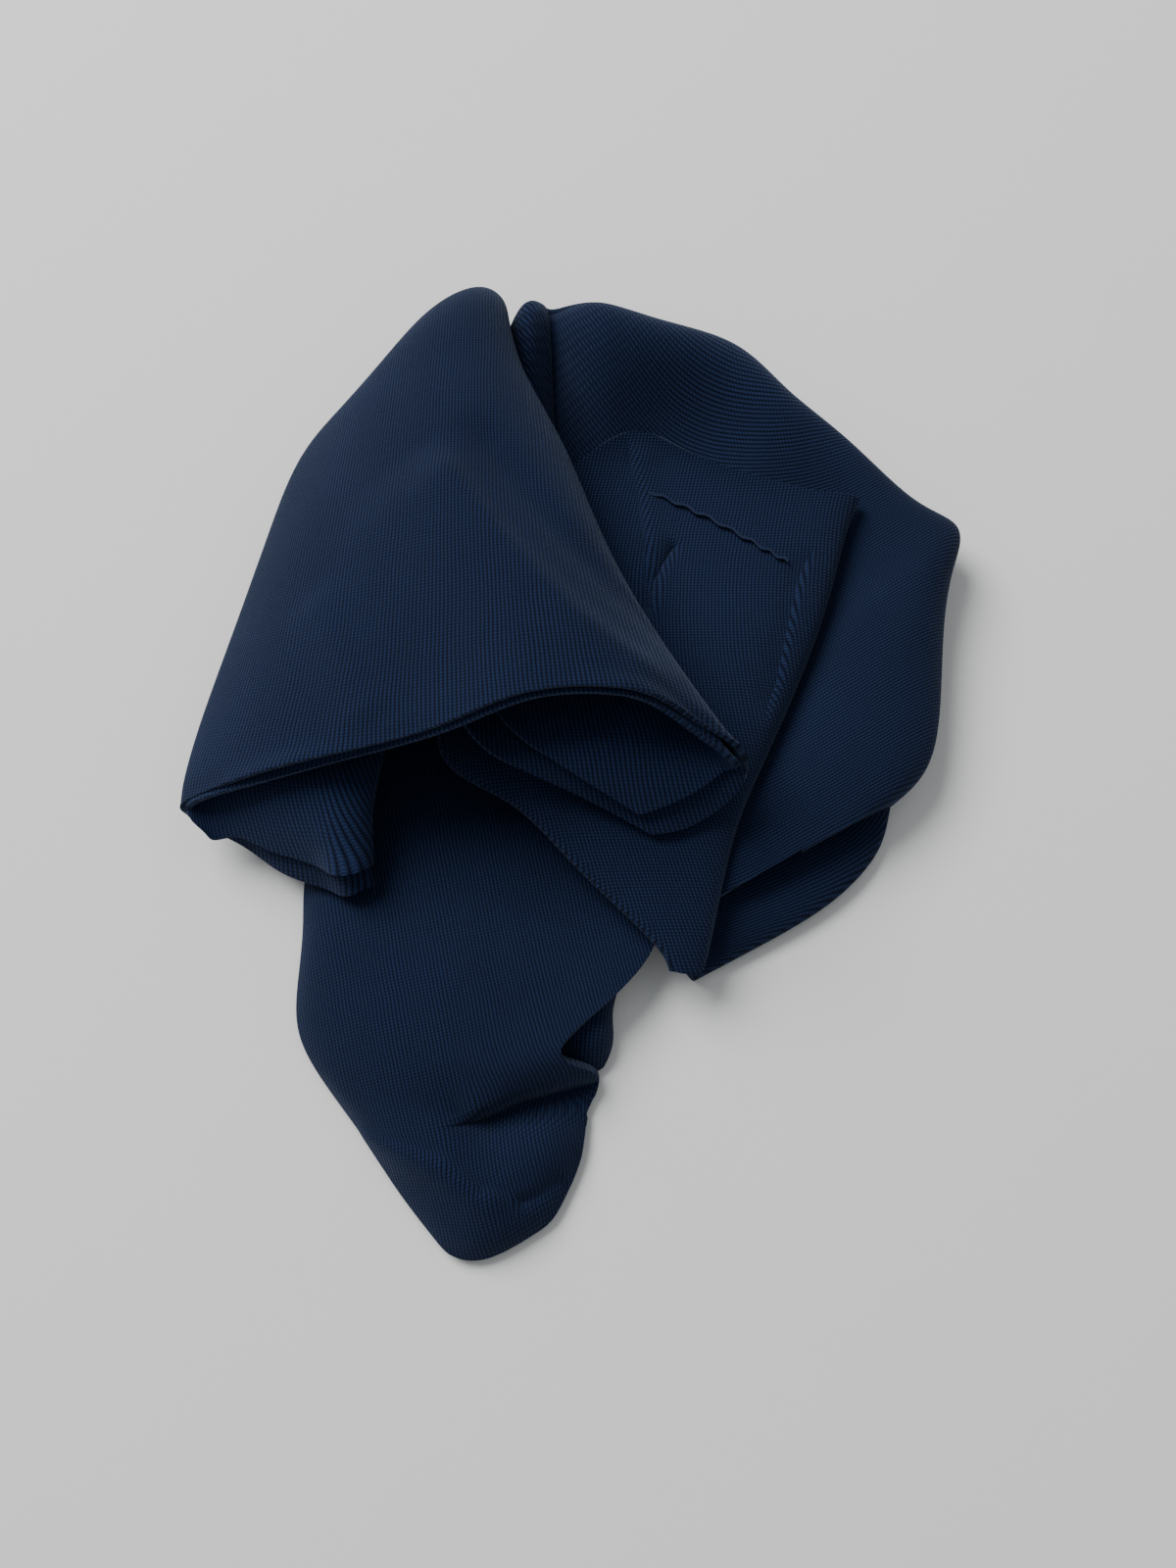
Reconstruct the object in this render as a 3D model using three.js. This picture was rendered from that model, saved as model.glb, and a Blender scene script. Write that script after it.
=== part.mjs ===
// A long knitted forearm band in navy cotton, dropped in a loose heap.
// Units are millimetres, +Z is up, the heap rests on z = 0.
import * as THREE from "three";

// ---- driving dimensions -------------------------------------------------
const PLY = 1.1;             // one knitted ply
const CLOTH = 2.2;           // two plies lying together
const ROW_CLOTH = 2.2;       // the thickness that the control rows leave room for
const PLY_GAP = 0.6;         // air between the two plies of the sleeve
const SPREAD = 1.0;          // size of the whole heap, 1 = as measured
const LOFT = 1.0;            // how high the folds stand, 1 = as measured
const CLEARANCE = 0.3;       // air between cloth and what is laid on it
const HEM = 0.9;             // turned hem under the cuff end, thickness
const LINK_LINE = 0.155;     // where the linking row starts, as a share of the band
const LINK_DROP = 0.05;      // how much further down the linking row ends
const BAND_LENGTH = 120;     // length that the shares are taken of
const THREAD = 0.5;          // linking thread, thickness
const STITCHES = 14;         // stitches in the linking row
const STITCH_WAVE = 0.25;    // sideways swing of a stitch
const TONGUE_SETBACK = 0.045; // how far the inner ply steps back at the tongue
const FLAP_SETBACK = 0.038;  // and at the flap on the other side
const NAVY = 0x1b2a41;
const NAVY_DEEP = 0x141e30;
const NAVY_THREAD = 0x0b111d;

// ---- control rows -------------------------------------------------------
// Every row is a line of points across one cloth leaf, in millimetres.

// The arched sleeve: rows run from the open mouth to the far turn, points run
// from the inner tongue, up the right fold, over the crown, down the left fold
// and in to the rolled lip.
const SLEEVE = [
  [[11.6, -14, 18.5], [21, -11.5, 19], [28.5, -5.5, 24], [26, -0.5, 31], [19, 3, 37], [8, 5.5, 42],
    [-10, 5.6, 43], [-26, 1.4, 37.6], [-46, -1.9, 29.6], [-65, -5, 22], [-77, -7, 13],
    [-74.4, -9.8, 8.4], [-68, -13.2, 5.8], [-59, -17.8, 5.6], [-50.8, -22.2, 8], [-45.6, -24.4, 11],
    [-42.4, -23.2, 11.4], [-41.4, -22.2, 9.4]],
  [[-7, -5.6, 24.4], [6, 0.4, 26.4], [18, 7.4, 26], [18, 10.5, 32.5], [12, 13.5, 38], [1, 17, 42],
    [-14, 17, 42], [-29, 13, 37], [-47, 10, 30], [-63.5, 8, 22], [-74.5, 6.5, 13], [-71, 2, 10.6],
    [-62, -3, 14.4], [-55, -5.6, 17], [-49, -7.2, 18.6], [-45.4, -8.4, 18.4], [-43, -8.2, 16.6],
    [-42.4, -7.8, 14]],
  [[-23, 5, 28], [-9, 17, 22.4], [4, 31.5, 23], [4.5, 33.5, 32], [0, 34.5, 37.5], [-9, 35, 40.8],
    [-22, 34, 40], [-36, 32, 35.5], [-49, 30, 29], [-61, 28.5, 21], [-69.5, 27, 11],
    [-66.4, 22, 8.6], [-58.4, 16, 10.4], [-52, 12.4, 12.4], [-47, 10, 13.4], [-43.2, 9.4, 13.4],
    [-41, 9.8, 12], [-40.6, 10.2, 10]],
  [[-30, 35, 19], [-17, 46, 19.5], [-5.5, 57, 23], [-5.5, 58.5, 29], [-9, 59, 33.5],
    [-16, 58.5, 37], [-26, 56, 37.5], [-37, 54, 34], [-47.5, 52, 28], [-57, 50, 20],
    [-63.5, 48.5, 10.5], [-61, 45, 4], [-53.6, 41, 3.4], [-48, 38, 5.4], [-44.5, 37, 7.8],
    [-42, 37, 8.6], [-40.6, 38, 7.8], [-40.4, 39, 6.4]],
  [[-33, 56, 12], [-25, 65, 14.5], [-14, 74, 20], [-12.8, 76, 25.5], [-15, 77, 29.5],
    [-20, 76.5, 33], [-28.5, 74.5, 33], [-37, 72, 30], [-45, 69.5, 25], [-52, 67.5, 18.4],
    [-57, 66, 10], [-54, 63.5, 3.4], [-48, 61, 2.2], [-43, 59, 3.8], [-40, 58, 5.8], [-38, 58, 6.8],
    [-36.8, 59, 6.8], [-36.6, 60, 6]],
  [[-31, 74, 8], [-25, 79, 11], [-17.2, 85, 16.5], [-15.8, 87.5, 22], [-17, 89.5, 25.4],
    [-20.8, 90.5, 28.2], [-27.5, 88.5, 28.4], [-34, 85, 26.2], [-40, 81, 22], [-44.6, 78, 16.4],
    [-47.6, 75.5, 9.5], [-45, 73.5, 3.4], [-41, 71.5, 1.8], [-38, 70.5, 2.6], [-36, 70, 4.4],
    [-35, 70, 6.2], [-34.6, 71, 7.4], [-34.6, 72.5, 7.8]],
  [[-28, 80.5, 8], [-24, 84, 10], [-18.8, 89.5, 13.5], [-17, 93.5, 16], [-17.8, 96.4, 18],
    [-21.2, 98, 19], [-26.5, 96.6, 19], [-32.6, 92.2, 18], [-38, 86.8, 15.5], [-42, 82.6, 12],
    [-44, 79.5, 7.6], [-42, 77.6, 3.2], [-38.6, 76, 1.8], [-36, 75, 2.2], [-33.8, 75, 3.6],
    [-32, 76, 5], [-30.6, 77.4, 6.2], [-29.4, 79, 7.2]],
  [[-27, 82.4, 6.6], [-24, 85, 7.8], [-19.8, 90.2, 8.6], [-18.2, 94, 8.8], [-18.8, 96.8, 9],
    [-21.8, 98.2, 9], [-26.4, 96.8, 9], [-32, 92.6, 8.6], [-36.8, 87.8, 7.8], [-40.2, 83.6, 6.4],
    [-42, 81, 4.6], [-40.2, 79.6, 2.4], [-37.6, 78.2, 1.6], [-35.4, 77.6, 2], [-33.4, 77.8, 3],
    [-31.8, 78.6, 4], [-30.2, 79.8, 5], [-28.6, 81.2, 5.9]],
];

// The two-ply band that comes out of the heap to the finished cuff: rows run
// from the cuff end down to the lower turn, points run from left to right and
// over the rounded right fold.
const BAND = [
  [[-7.5, 56.5, 11.6], [-6, 58, 13.6], [7.6, 66, 14.2], [21, 63.4, 14.8], [36.5, 56.8, 15.6],
    [46, 54, 16.2], [51, 53.8, 15.6], [51.8, 53.6, 14]],
  [[-8.5, 48.5, 12], [-7, 50, 14], [6.2, 57.4, 14.6], [20.4, 55.4, 15], [35.4, 49.4, 15.8],
    [44.4, 46.6, 16.5], [48.6, 45.8, 15.5], [49.4, 45.6, 13.6]],
  [[-15, 28.5, 13.2], [-15, 30, 15.6], [0, 33, 16], [15, 32, 16.4], [28.5, 29.5, 17],
    [38, 27.5, 17.2], [42.6, 26.5, 15.6], [43.4, 26.2, 13]],
  [[-25, 5.2, 14.2], [-26.4, 4.8, 16.8], [-12, 4.5, 18.2], [3, 4.5, 18.5], [16.5, 4, 18.4],
    [27.5, 3, 17.6], [32.2, 2.4, 15.4], [33, 2.2, 12.8]],
  [[-13, -5.2, 13.2], [-14.4, -6.4, 15.6], [-5, -7, 17], [5, -7.4, 17.4], [15, -8, 17.2],
    [23, -8.8, 16.4], [27, -9.4, 14.4], [27.8, -9.6, 12]],
  [[0, -17.4, 12.6], [-1.4, -18.8, 14.4], [5, -19.6, 15.2], [11.5, -20, 15.4], [17.6, -20.4, 15],
    [22.2, -20.8, 14], [24.2, -21, 12.4], [24.6, -21, 10.6]],
  [[12.8, -31, 11], [12.2, -32, 12], [14.2, -32.8, 12.3], [16.4, -33.2, 12.3], [18.4, -33.5, 12.1],
    [20.2, -33.6, 11.6], [21.4, -33.6, 10.8], [21.8, -33.6, 9.8]],
  [[16.2, -37.4, 10], [16.2, -38.2, 10.3], [17, -38.5, 10.4], [17.9, -38.7, 10.4],
    [18.7, -38.8, 10.3], [19.4, -38.8, 10.1], [20, -38.7, 9.8], [20.4, -38.6, 9.5]],
];

// The wide back leaf: rows follow its outer edge clockwise from the narrow
// strip beside the sleeve. Each row has its hidden inner point, its rim, and
// the heights of nine points from the inner one over the rim and in again
// underneath.
const BACK_SHARES = [0, 0.22, 0.45, 0.69, 0.9, 1, 0.96, 0.8, 0.6];
const BACK_SPANS = [
  [[-18, 58], [-18, 89.4], [4, 4.2, 5.4, 7.6, 8.4, 6.6, 4, 1.8, 1.3]],
  [[-12, 50], [-12.4, 95.6], [5, 7, 11.4, 17.6, 20.5, 16, 8, 2.2, 1.3]],
  [[-6, 46], [-7.8, 95.8], [4.6, 6, 8.6, 13.6, 18.2, 14.4, 7.2, 2, 1.3]],
  [[4, 41], [0.4, 96], [4.8, 6.6, 9.2, 17.2, 21.2, 16, 7, 1.8, 1.3]],
  [[12, 36], [14, 92.6], [5.4, 6.8, 7.8, 12.6, 20, 15, 6.4, 1.6, 1.3]],
  [[19, 31], [29.4, 88.7], [6.2, 7.4, 8.2, 10.8, 16.4, 12.8, 5.6, 1.5, 1.3]],
  [[24, 26], [40.2, 79.2], [6.6, 7.9, 8.7, 10.4, 14.4, 11.6, 5.2, 1.5, 1.3]],
  [[28, 20.5], [52.4, 68.7], [7, 8.4, 8.8, 9.6, 12, 10.2, 5, 1.5, 1.3]],
  [[31, 15], [65.2, 56], [7.4, 9, 9.8, 10.8, 12, 9.6, 5.2, 3, 2.8]],
  [[32, 10.5], [73.2, 50.4], [7.8, 10, 11.8, 13, 12.4, 9.4, 5.4, 4, 3.8]],
  [[31.5, 6.5], [70.7, 41.6], [8, 10.6, 12.4, 13.6, 13, 9.4, 5.6, 4.1, 3.9]],
  [[29.5, 0], [69.2, 28.6], [8.2, 11, 12.8, 13.8, 13, 9.4, 5.8, 4.6, 4.4]],
  [[26, -9], [67.6, 13], [8.2, 11, 12.6, 13.2, 12.4, 9.4, 7, 6.8, 6.8]],
  [[21, -19.5], [64.4, 1.2], [7.8, 10.2, 11.6, 12.2, 11.6, 9.2, 7.4, 7.2, 7.2]],
  [[16.5, -29], [57.4, -6], [6.8, 9, 10.4, 11.2, 10.8, 9, 7.6, 7.4, 7.4]],
];
const BACK = BACK_SPANS.map(([inner, rim, heights]) => heights.map((height, k) => {
  const x = inner[0] + (rim[0] - inner[0]) * BACK_SHARES[k];
  const y = inner[1] + (rim[1] - inner[1]) * BACK_SHARES[k];
  return [x, y, height];
}));

// The leaf under the back leaf: rows run from its hidden upper pass round the
// lower fold and back along the table.
const UNDER = [
  [[17, -25.5, 4.2], [27, -20.4, 4.2], [38, -14, 4.3], [46.6, -7.4, 4.4], [50, -2.6, 4.3],
    [52, 3, 4.2]],
  [[18.6, -34.6, 4.2], [29.6, -28.6, 4.3], [42, -20.6, 4.5], [51, -12, 4.6], [54.4, -5.4, 4.4],
    [56.4, 2, 4.2]],
  [[19.8, -38.4, 2.8], [31.6, -32.2, 2.8], [45.6, -24, 3], [55, -14.6, 3], [58, -6.6, 3],
    [60, 2, 3]],
  [[17.8, -36, 1.2], [29.2, -30, 1.1], [42, -22, 1.1], [51.4, -13.4, 1.1], [54.8, -6, 1.1],
    [57, 2, 1.1]],
  [[12, -24, 1.1], [26, -17, 1.1], [40, -10, 1.1], [49, -3.5, 1.1], [53, 1, 1.1], [55.4, 6, 1.1]],
  [[6, -8, 1.1], [23, 0, 1.1], [38, 7.5, 1.1], [48, 12, 1.1], [53, 14.5, 1.1], [57, 16.5, 1.1]],
  [[4, 6, 1.1], [21, 14, 1.1], [37, 21, 1.1], [48, 25, 1.1], [54, 27, 1.1], [60, 29, 1.1]],
  [[8, 18, 1.1], [23, 25, 1.1], [37, 30, 1.1], [47, 34, 1.1], [53, 36, 1.1], [59, 38, 1.1]],
];

// The tail: rows run from inside the heap to the tip, points from right to
// left, both sides come down to the table.
const TAIL = [
  [[-22, 54, 1.6], [-24, 54, 1.6], [-27, 54, 1.6], [-30, 54, 1.6], [-32, 54, 1.6], [-34, 54, 1.4],
    [-36, 54, 1.2]],
  [[-4, 36, 3], [-12, 36, 3], [-20, 36, 3], [-27, 36, 3], [-33, 36, 2.8], [-37, 36, 2.2],
    [-39, 36, 1.3]],
  [[3, 8, 4.4], [-8, 8, 4.4], [-20, 8, 4.4], [-30, 8, 4.4], [-38, 8, 4], [-43, 8, 3],
    [-45.5, 8, 1.4]],
  [[10, -14, 6], [-5, -14, 6.3], [-19, -14, 6.4], [-32, -14, 6.2], [-43.5, -14, 5.4],
    [-50, -14, 3.6], [-53.5, -14, 1.4]],
  [[13.4, -30.5, 8], [-1, -30, 8.2], [-17, -29, 8.2], [-32, -29, 8.2], [-44.5, -29, 7.2],
    [-51.4, -29, 4.6], [-54.2, -29, 1.4]],
  [[4.4, -43.4, 8.8], [-7, -43, 9.6], [-20, -43, 9.8], [-33, -42.5, 9.4], [-44.5, -42, 7.8],
    [-51.6, -42, 4.8], [-54.8, -42, 1.4]],
  [[-5, -53.4, 10.2], [-14, -55.4, 10.5], [-24, -56, 9.8], [-34, -54.5, 9], [-43, -52.5, 7.2],
    [-50, -51, 4.4], [-53.6, -50.5, 1.4]],
  [[1.6, -56.8, 4.2], [-7, -60.2, 5.2], [-20, -64.4, 6.4], [-31, -63.5, 7.4], [-39.6, -61, 6.2],
    [-45.4, -59.5, 4], [-48.6, -58.5, 1.4]],
  [[-0.2, -64, 2.6], [-6, -66.5, 5.4], [-14.5, -69.6, 7.2], [-23.5, -71.4, 7.6],
    [-31.6, -70.6, 6.8], [-37.6, -69.4, 4.2], [-41, -68.4, 1.4]],
  [[-2, -72, 1.6], [-7, -74.2, 5], [-13.4, -77.4, 6.6], [-20, -79.4, 6.6], [-26.6, -78.8, 5.6],
    [-31.6, -78, 3.6], [-34.8, -77.4, 1.4]],
  [[-5.4, -80, 1.4], [-9.6, -81.8, 4], [-14.4, -84.2, 5], [-19, -85.8, 5], [-23.4, -85.6, 4.2],
    [-26.8, -85, 2.8], [-29, -84.6, 1.3]],
  [[-7.2, -83.4, 1.2], [-11.4, -85.8, 1.5], [-15, -87.8, 1.6], [-18.8, -89.4, 1.6],
    [-22, -89.8, 1.5], [-24.2, -89.4, 1.4], [-25.6, -88.8, 1.2]],
];

// The second layer of the tail, showing beside its upper edge.
const TAIL_SIDE = [
  [[-14, -22, 3.4], [-7, -22, 3.4], [-1, -22, 3.2], [3.4, -22, 2.6], [5.4, -22, 1.3]],
  [[-14, -33, 5], [-6, -33, 5.2], [0.6, -33, 4.8], [5, -33, 3.6], [6.8, -33, 1.4]],
  [[-13, -43, 6.2], [-5.6, -43, 6.4], [-0.6, -43, 6], [2.6, -43.4, 4.4], [4, -43.6, 1.6]],
  [[-12, -50, 6.2], [-5.4, -50, 6.2], [-0.8, -50, 6.8], [2.4, -50, 5.6], [3.8, -50, 2.6]],
  [[-11, -55, 2.6], [-6, -55.8, 2.4], [-2.4, -56.2, 2], [0.4, -56, 1.5], [2.6, -55.2, 1.2]],
];

// ---- surface tools ------------------------------------------------------
function spline(points, t) {
  const spans = points.length - 1;
  const at = Math.min(Math.max(t, 0), 1) * spans;
  const i = Math.min(Math.floor(at), spans - 1);
  const f = at - i;
  const b = points[i];
  const c = points[i + 1];
  const a = i > 0 ? points[i - 1] : b.map((value, k) => 2 * value - c[k]);
  const d = i + 2 <= spans ? points[i + 2] : c.map((value, k) => 2 * value - b[k]);
  return b.map((value, k) => {
    const rise = 0.5 * (c[k] - a[k]);
    const fall = 0.5 * (d[k] - value);
    const span = c[k] - value;
    return value + f * (rise + f * (3 * span - 2 * rise - fall + f * (rise + fall - 2 * span)));
  });
}

function rowsSurface(rows) {
  return (u, v) => {
    const column = rows.map((row) => spline(row, v));
    const p = spline(column, u);
    return new THREE.Vector3(p[0] * SPREAD, p[1] * SPREAD, p[2] * LOFT);
  };
}

function surfaceNormal(surface, u, v) {
  const step = 0.004;
  const u0 = Math.max(u - step, 0);
  const u1 = Math.min(u + step, 1);
  const v0 = Math.max(v - step, 0);
  const v1 = Math.min(v + step, 1);
  const along = surface(u1, v).sub(surface(u0, v));
  const across = surface(u, v1).sub(surface(u, v0));
  return across.cross(along).normalize();
}

// A surface parallel to another, a set distance along its normal.
function parallelSurface(surface, distance) {
  return (u, v) => surface(u, v).addScaledVector(surfaceNormal(surface, u, v), distance);
}

// A leaf that lies under another sinks by what the cloth above it gains.
function underCloth(surface) {
  return (u, v) => {
    const p = surface(u, v);
    p.z -= CLOTH - ROW_CLOTH;
    return p;
  };
}

function signedVolume(positions, indices) {
  const a = new THREE.Vector3();
  const b = new THREE.Vector3();
  const c = new THREE.Vector3();
  let total = 0;
  for (let k = 0; k < indices.length; k += 3) {
    a.fromArray(positions, 3 * indices[k]);
    b.fromArray(positions, 3 * indices[k + 1]);
    c.fromArray(positions, 3 * indices[k + 2]);
    total += a.dot(b.cross(c)) / 6;
  }
  return total;
}

// A cloth leaf: a surface thickened half each way and closed round its edges.
function leafGeometry(surface, options) {
  const { nu, nv, thickness, uRange = [0, 1], vRange = [0, 1] } = options;
  const trim = options.trim || (() => 0);
  const positions = [];
  const indices = [];
  for (const side of [1, -1]) {
    for (let i = 0; i <= nu; i += 1) {
      for (let j = 0; j <= nv; j += 1) {
        const v = vRange[0] + ((vRange[1] - vRange[0]) * j) / nv;
        const start = uRange[0] + trim(v);
        const u = start + ((uRange[1] - start) * i) / nu;
        const p = surface(u, v).addScaledVector(surfaceNormal(surface, u, v), (side * thickness) / 2);
        positions.push(p.x, p.y, Math.max(p.z, 0));
      }
    }
  }
  const count = (nu + 1) * (nv + 1);
  const at = (side, i, j) => side * count + i * (nv + 1) + j;
  const quad = (a, b, c, d) => indices.push(a, b, c, a, c, d);
  for (let i = 0; i < nu; i += 1) {
    for (let j = 0; j < nv; j += 1) {
      quad(at(0, i, j), at(0, i, j + 1), at(0, i + 1, j + 1), at(0, i + 1, j));
      quad(at(1, i, j), at(1, i + 1, j), at(1, i + 1, j + 1), at(1, i, j + 1));
    }
  }
  for (let j = 0; j < nv; j += 1) {
    quad(at(1, 0, j), at(1, 0, j + 1), at(0, 0, j + 1), at(0, 0, j));
    quad(at(0, nu, j), at(0, nu, j + 1), at(1, nu, j + 1), at(1, nu, j));
  }
  for (let i = 0; i < nu; i += 1) {
    quad(at(0, i, 0), at(0, i + 1, 0), at(1, i + 1, 0), at(1, i, 0));
    quad(at(1, i, nv), at(1, i + 1, nv), at(0, i + 1, nv), at(0, i, nv));
  }
  if (signedVolume(positions, indices) < 0) {
    indices.reverse();
  }
  const geometry = new THREE.BufferGeometry();
  geometry.setAttribute("position", new THREE.Float32BufferAttribute(positions, 3));
  geometry.setIndex(indices);
  geometry.computeVertexNormals();
  return geometry;
}

function node(name, geometry, colour) {
  const material = new THREE.MeshStandardMaterial({ color: colour, roughness: 0.95, metalness: 0 });
  material.name = "knit";
  const mesh = new THREE.Mesh(geometry, material);
  mesh.name = name;
  return mesh;
}

// ---- the heap -----------------------------------------------------------
const PLY_ROWS = 18;
const PLY_COLUMNS = 46;
const INNER_ROWS = 12;
const sleeve = rowsSurface(SLEEVE);
const BAND_END = 0.97;
const band = rowsSurface(BAND);
const heap = new THREE.Group();
heap.name = "knitted_forearm_band";

heap.add(node("sleeve_outer_ply", leafGeometry(sleeve, {
  nu: PLY_ROWS,
  nv: PLY_COLUMNS,
  thickness: PLY,
}), NAVY));

// The inner ply follows the outer one, and steps back at the tongue and flap.
const TONGUE_END = 0.16;
const FLAP_START = 0.66;
const ramp = (t) => Math.min(Math.max(t / 0.06, 0), 1);
const innerStep = (v) => TONGUE_SETBACK * ramp(TONGUE_END - v) + FLAP_SETBACK * ramp(v - FLAP_START);
heap.add(node("sleeve_inner_ply", leafGeometry(parallelSurface(sleeve, PLY + PLY_GAP), {
  nu: INNER_ROWS,
  nv: PLY_COLUMNS - 5,
  thickness: PLY,
  uRange: [0, INNER_ROWS / PLY_ROWS],
  vRange: [1 / PLY_COLUMNS, 1 - 4 / PLY_COLUMNS],
  trim: innerStep,
}), NAVY_DEEP));

heap.add(node("cuff_band", leafGeometry(band, {
  nu: 18,
  nv: 16,
  thickness: CLOTH,
  uRange: [0, BAND_END],
}), NAVY));

// The turned hem lies under the cuff end, the linking row above its edge.
heap.add(node("cuff_hem", leafGeometry(parallelSurface(band, CLOTH / 2 + CLEARANCE + HEM / 2), {
  nu: 2,
  nv: 10,
  thickness: HEM,
  uRange: [0.01, LINK_LINE],
  vRange: [0.28, 0.66],
}), NAVY_DEEP));

const threadLevel = parallelSurface(band, -(CLOTH / 2 + CLEARANCE + THREAD / 2));
const threadPath = (u, v) => {
  const swing = STITCH_WAVE * Math.sin(v * STITCHES * Math.PI);
  const line = LINK_LINE + LINK_DROP * v;
  return threadLevel(line + (swing + (u - 0.5) * THREAD) / BAND_LENGTH, 0.34 + 0.3 * v);
};
heap.add(node("linking_thread", leafGeometry(threadPath, {
  nu: 1,
  nv: 4 * STITCHES,
  thickness: THREAD,
}), NAVY_THREAD));

heap.add(node("back_leaf", leafGeometry(rowsSurface(BACK), { nu: 26, nv: 18, thickness: CLOTH }), NAVY));
heap.add(node("under_leaf", leafGeometry(underCloth(rowsSurface(UNDER)), {
  nu: 18,
  nv: 8,
  thickness: CLOTH,
}), NAVY));
heap.add(node("tail_leaf", leafGeometry(rowsSurface(TAIL), { nu: 26, nv: 14, thickness: CLOTH }), NAVY));
heap.add(node("tail_side_leaf", leafGeometry(rowsSurface(TAIL_SIDE), {
  nu: 8,
  nv: 8,
  thickness: CLOTH,
}), NAVY));

// The row's origin is the middle of the heap, on the table.
const extent = new THREE.Box3().setFromObject(heap);
const middle = extent.getCenter(new THREE.Vector3());
heap.children.forEach((mesh) => mesh.geometry.translate(-middle.x, -middle.y, -extent.min.z));

export default heap;
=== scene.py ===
"""A knitted forearm band in navy cotton, dropped in a loose heap on a pale table.

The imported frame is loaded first. Every cloth leaf of the heap is a surface
through a few rows of points, given its thickness by modifiers and dressed in
a rib knit that follows the wales of that leaf. Lengths are in millimetres
until a piece is made, and in metres after that.
"""

import math

import bmesh
import bpy
import numpy as np
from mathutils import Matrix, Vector


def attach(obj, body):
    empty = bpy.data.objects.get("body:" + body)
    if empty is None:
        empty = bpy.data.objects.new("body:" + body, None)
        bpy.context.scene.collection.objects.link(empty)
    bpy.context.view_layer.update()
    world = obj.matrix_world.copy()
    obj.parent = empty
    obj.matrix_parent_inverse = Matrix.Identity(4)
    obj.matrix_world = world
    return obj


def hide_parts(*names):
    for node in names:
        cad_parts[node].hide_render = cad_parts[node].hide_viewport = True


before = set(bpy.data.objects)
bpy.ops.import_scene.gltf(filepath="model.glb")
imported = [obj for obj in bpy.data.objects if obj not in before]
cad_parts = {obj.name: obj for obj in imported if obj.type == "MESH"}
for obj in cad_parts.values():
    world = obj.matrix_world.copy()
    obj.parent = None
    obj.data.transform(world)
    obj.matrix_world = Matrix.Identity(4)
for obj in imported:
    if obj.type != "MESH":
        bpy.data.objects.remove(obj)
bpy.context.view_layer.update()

bl_info = {
    "name": "Knitted Forearm Band",
    "version": (1, 0, 0),
    "blender": (4, 5, 0),
    "location": "View3D > Sidebar > Forearm Band",
    "description": "Makes a crumpled rib-knit forearm band, leaf by leaf",
    "category": "Add Mesh",
}

MM = 0.001
BODY = "root"
HEAP_MIDDLE = np.array([-0.88, 3.56, 0.0])  # the rows' own middle, put at the origin
TABLE_CLEARANCE = 0.02  # the lowest fibres stay this far above the table


# ---- control rows, in millimetres --------------------------------------

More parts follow.
